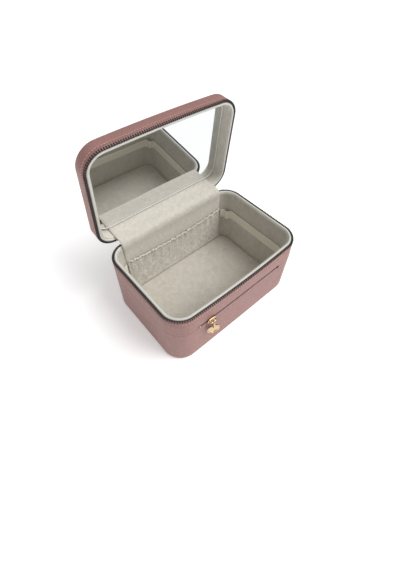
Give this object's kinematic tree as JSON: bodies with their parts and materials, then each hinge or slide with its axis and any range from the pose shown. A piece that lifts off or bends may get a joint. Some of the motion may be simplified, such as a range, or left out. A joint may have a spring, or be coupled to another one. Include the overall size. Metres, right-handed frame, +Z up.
{
  "type": "vanity case",
  "caption": "Soft rectangular vanity case, open: round corners, zip round the rim, lid with mirror, gathered back pocket, elastic band, and a zip pocket with a round pull on the front.",
  "frame": {"origin": "middle of the flat underside", "axes": "+Z up; -Y is the front with the pocket zip; the lid is hinged at the +Y side; +X right"},
  "size_m": [0.21, 0.1782, 0.2308],
  "materials": {
    "leather": "fine grained pink-beige leather, satin",
    "lining": "brushed cream lining cloth",
    "collar": "light suede-like edge binding",
    "zip": "black nylon coil",
    "tape": "black woven zip tape",
    "gold": "polished, plated",
    "mirror": "silvered glass with a ground edge",
    "board": "grey-brown stiffening board",
    "foam": "padding"
  },
  "bodies": {
    "base": {"base_cover": "leather", "base_board": "board", "base_foam": "foam", "base_lining": "lining", "floor_pad": "lining", "base_collar": "collar", "base_zip_tape": "tape", "base_zip_teeth": "zip", "base_hinge_strip": "leather", "base_hinge_lining": "lining", "back_pocket": "lining", "back_pocket_hem": "lining", "elastic_band": "lining", "front_zip_tape": "tape", "front_zip_teeth": "zip", "front_zip_stops": "zip", "front_pocket_bag": "lining"},
    "lid": {"lid_cover": "leather", "lid_board": "board", "lid_foam": "foam", "lid_lining": "lining", "lid_collar": "collar", "lid_zip_tape": "tape", "lid_zip_teeth": "zip", "lid_hinge_strip": "leather", "lid_hinge_lining": "lining", "mirror_glass": "mirror", "mirror_backing": "board"},
    "slider": {"pocket_slider": "gold"},
    "link": {"pull_link": "gold"},
    "disc": {"pull_disc": "gold"},
    "main_sliders": {"main_slider_left": "gold", "main_slider_right": "gold"},
    "left_pull": {"main_pull_left": "gold"},
    "right_pull": {"main_pull_right": "gold"}
  },
  "joints": [
    {"name": "lid_hinge", "type": "hinge", "parent": "base", "child": "lid", "pos_m": [0, 0.07275, 0.0855], "axis": [1, 0, 0], "range_deg": [0, 84.5]},
    {"name": "main_sliders_turn", "type": "hinge", "parent": "base", "child": "main_sliders", "pos_m": [0, 0.07275, 0.0855], "axis": [1, 0, 0], "range_deg": [0, 42.25]},
    {"name": "left_pull_swing", "type": "hinge", "parent": "main_sliders", "child": "left_pull", "pos_m": [-0.0689, 0.07731, 0.08851], "axis": [1, 0, 0], "range_deg": [-12, 50]},
    {"name": "right_pull_swing", "type": "hinge", "parent": "main_sliders", "child": "right_pull", "pos_m": [0.0689, 0.07731, 0.08851], "axis": [1, 0, 0], "range_deg": [-12, 50]},
    {"name": "pocket_slide", "type": "slide", "parent": "base", "child": "slider", "axis": [1, 0, 0], "range_m": [-0.0097, 0.1107]},
    {"name": "link_swing", "type": "hinge", "parent": "slider", "child": "link", "pos_m": [-0.054, -0.0758, 0.0615], "axis": [-1, 0, 0], "range_deg": [0, 85]},
    {"name": "disc_swing", "type": "hinge", "parent": "link", "child": "disc", "pos_m": [-0.054, -0.0758, 0.05], "axis": [0.342, 0.9397, 0], "range_deg": [-40, 40]}
  ],
  "couplings": [
    {"joint": "main_sliders_turn", "follows": "lid_hinge", "ratio": 0.5}
  ]
}
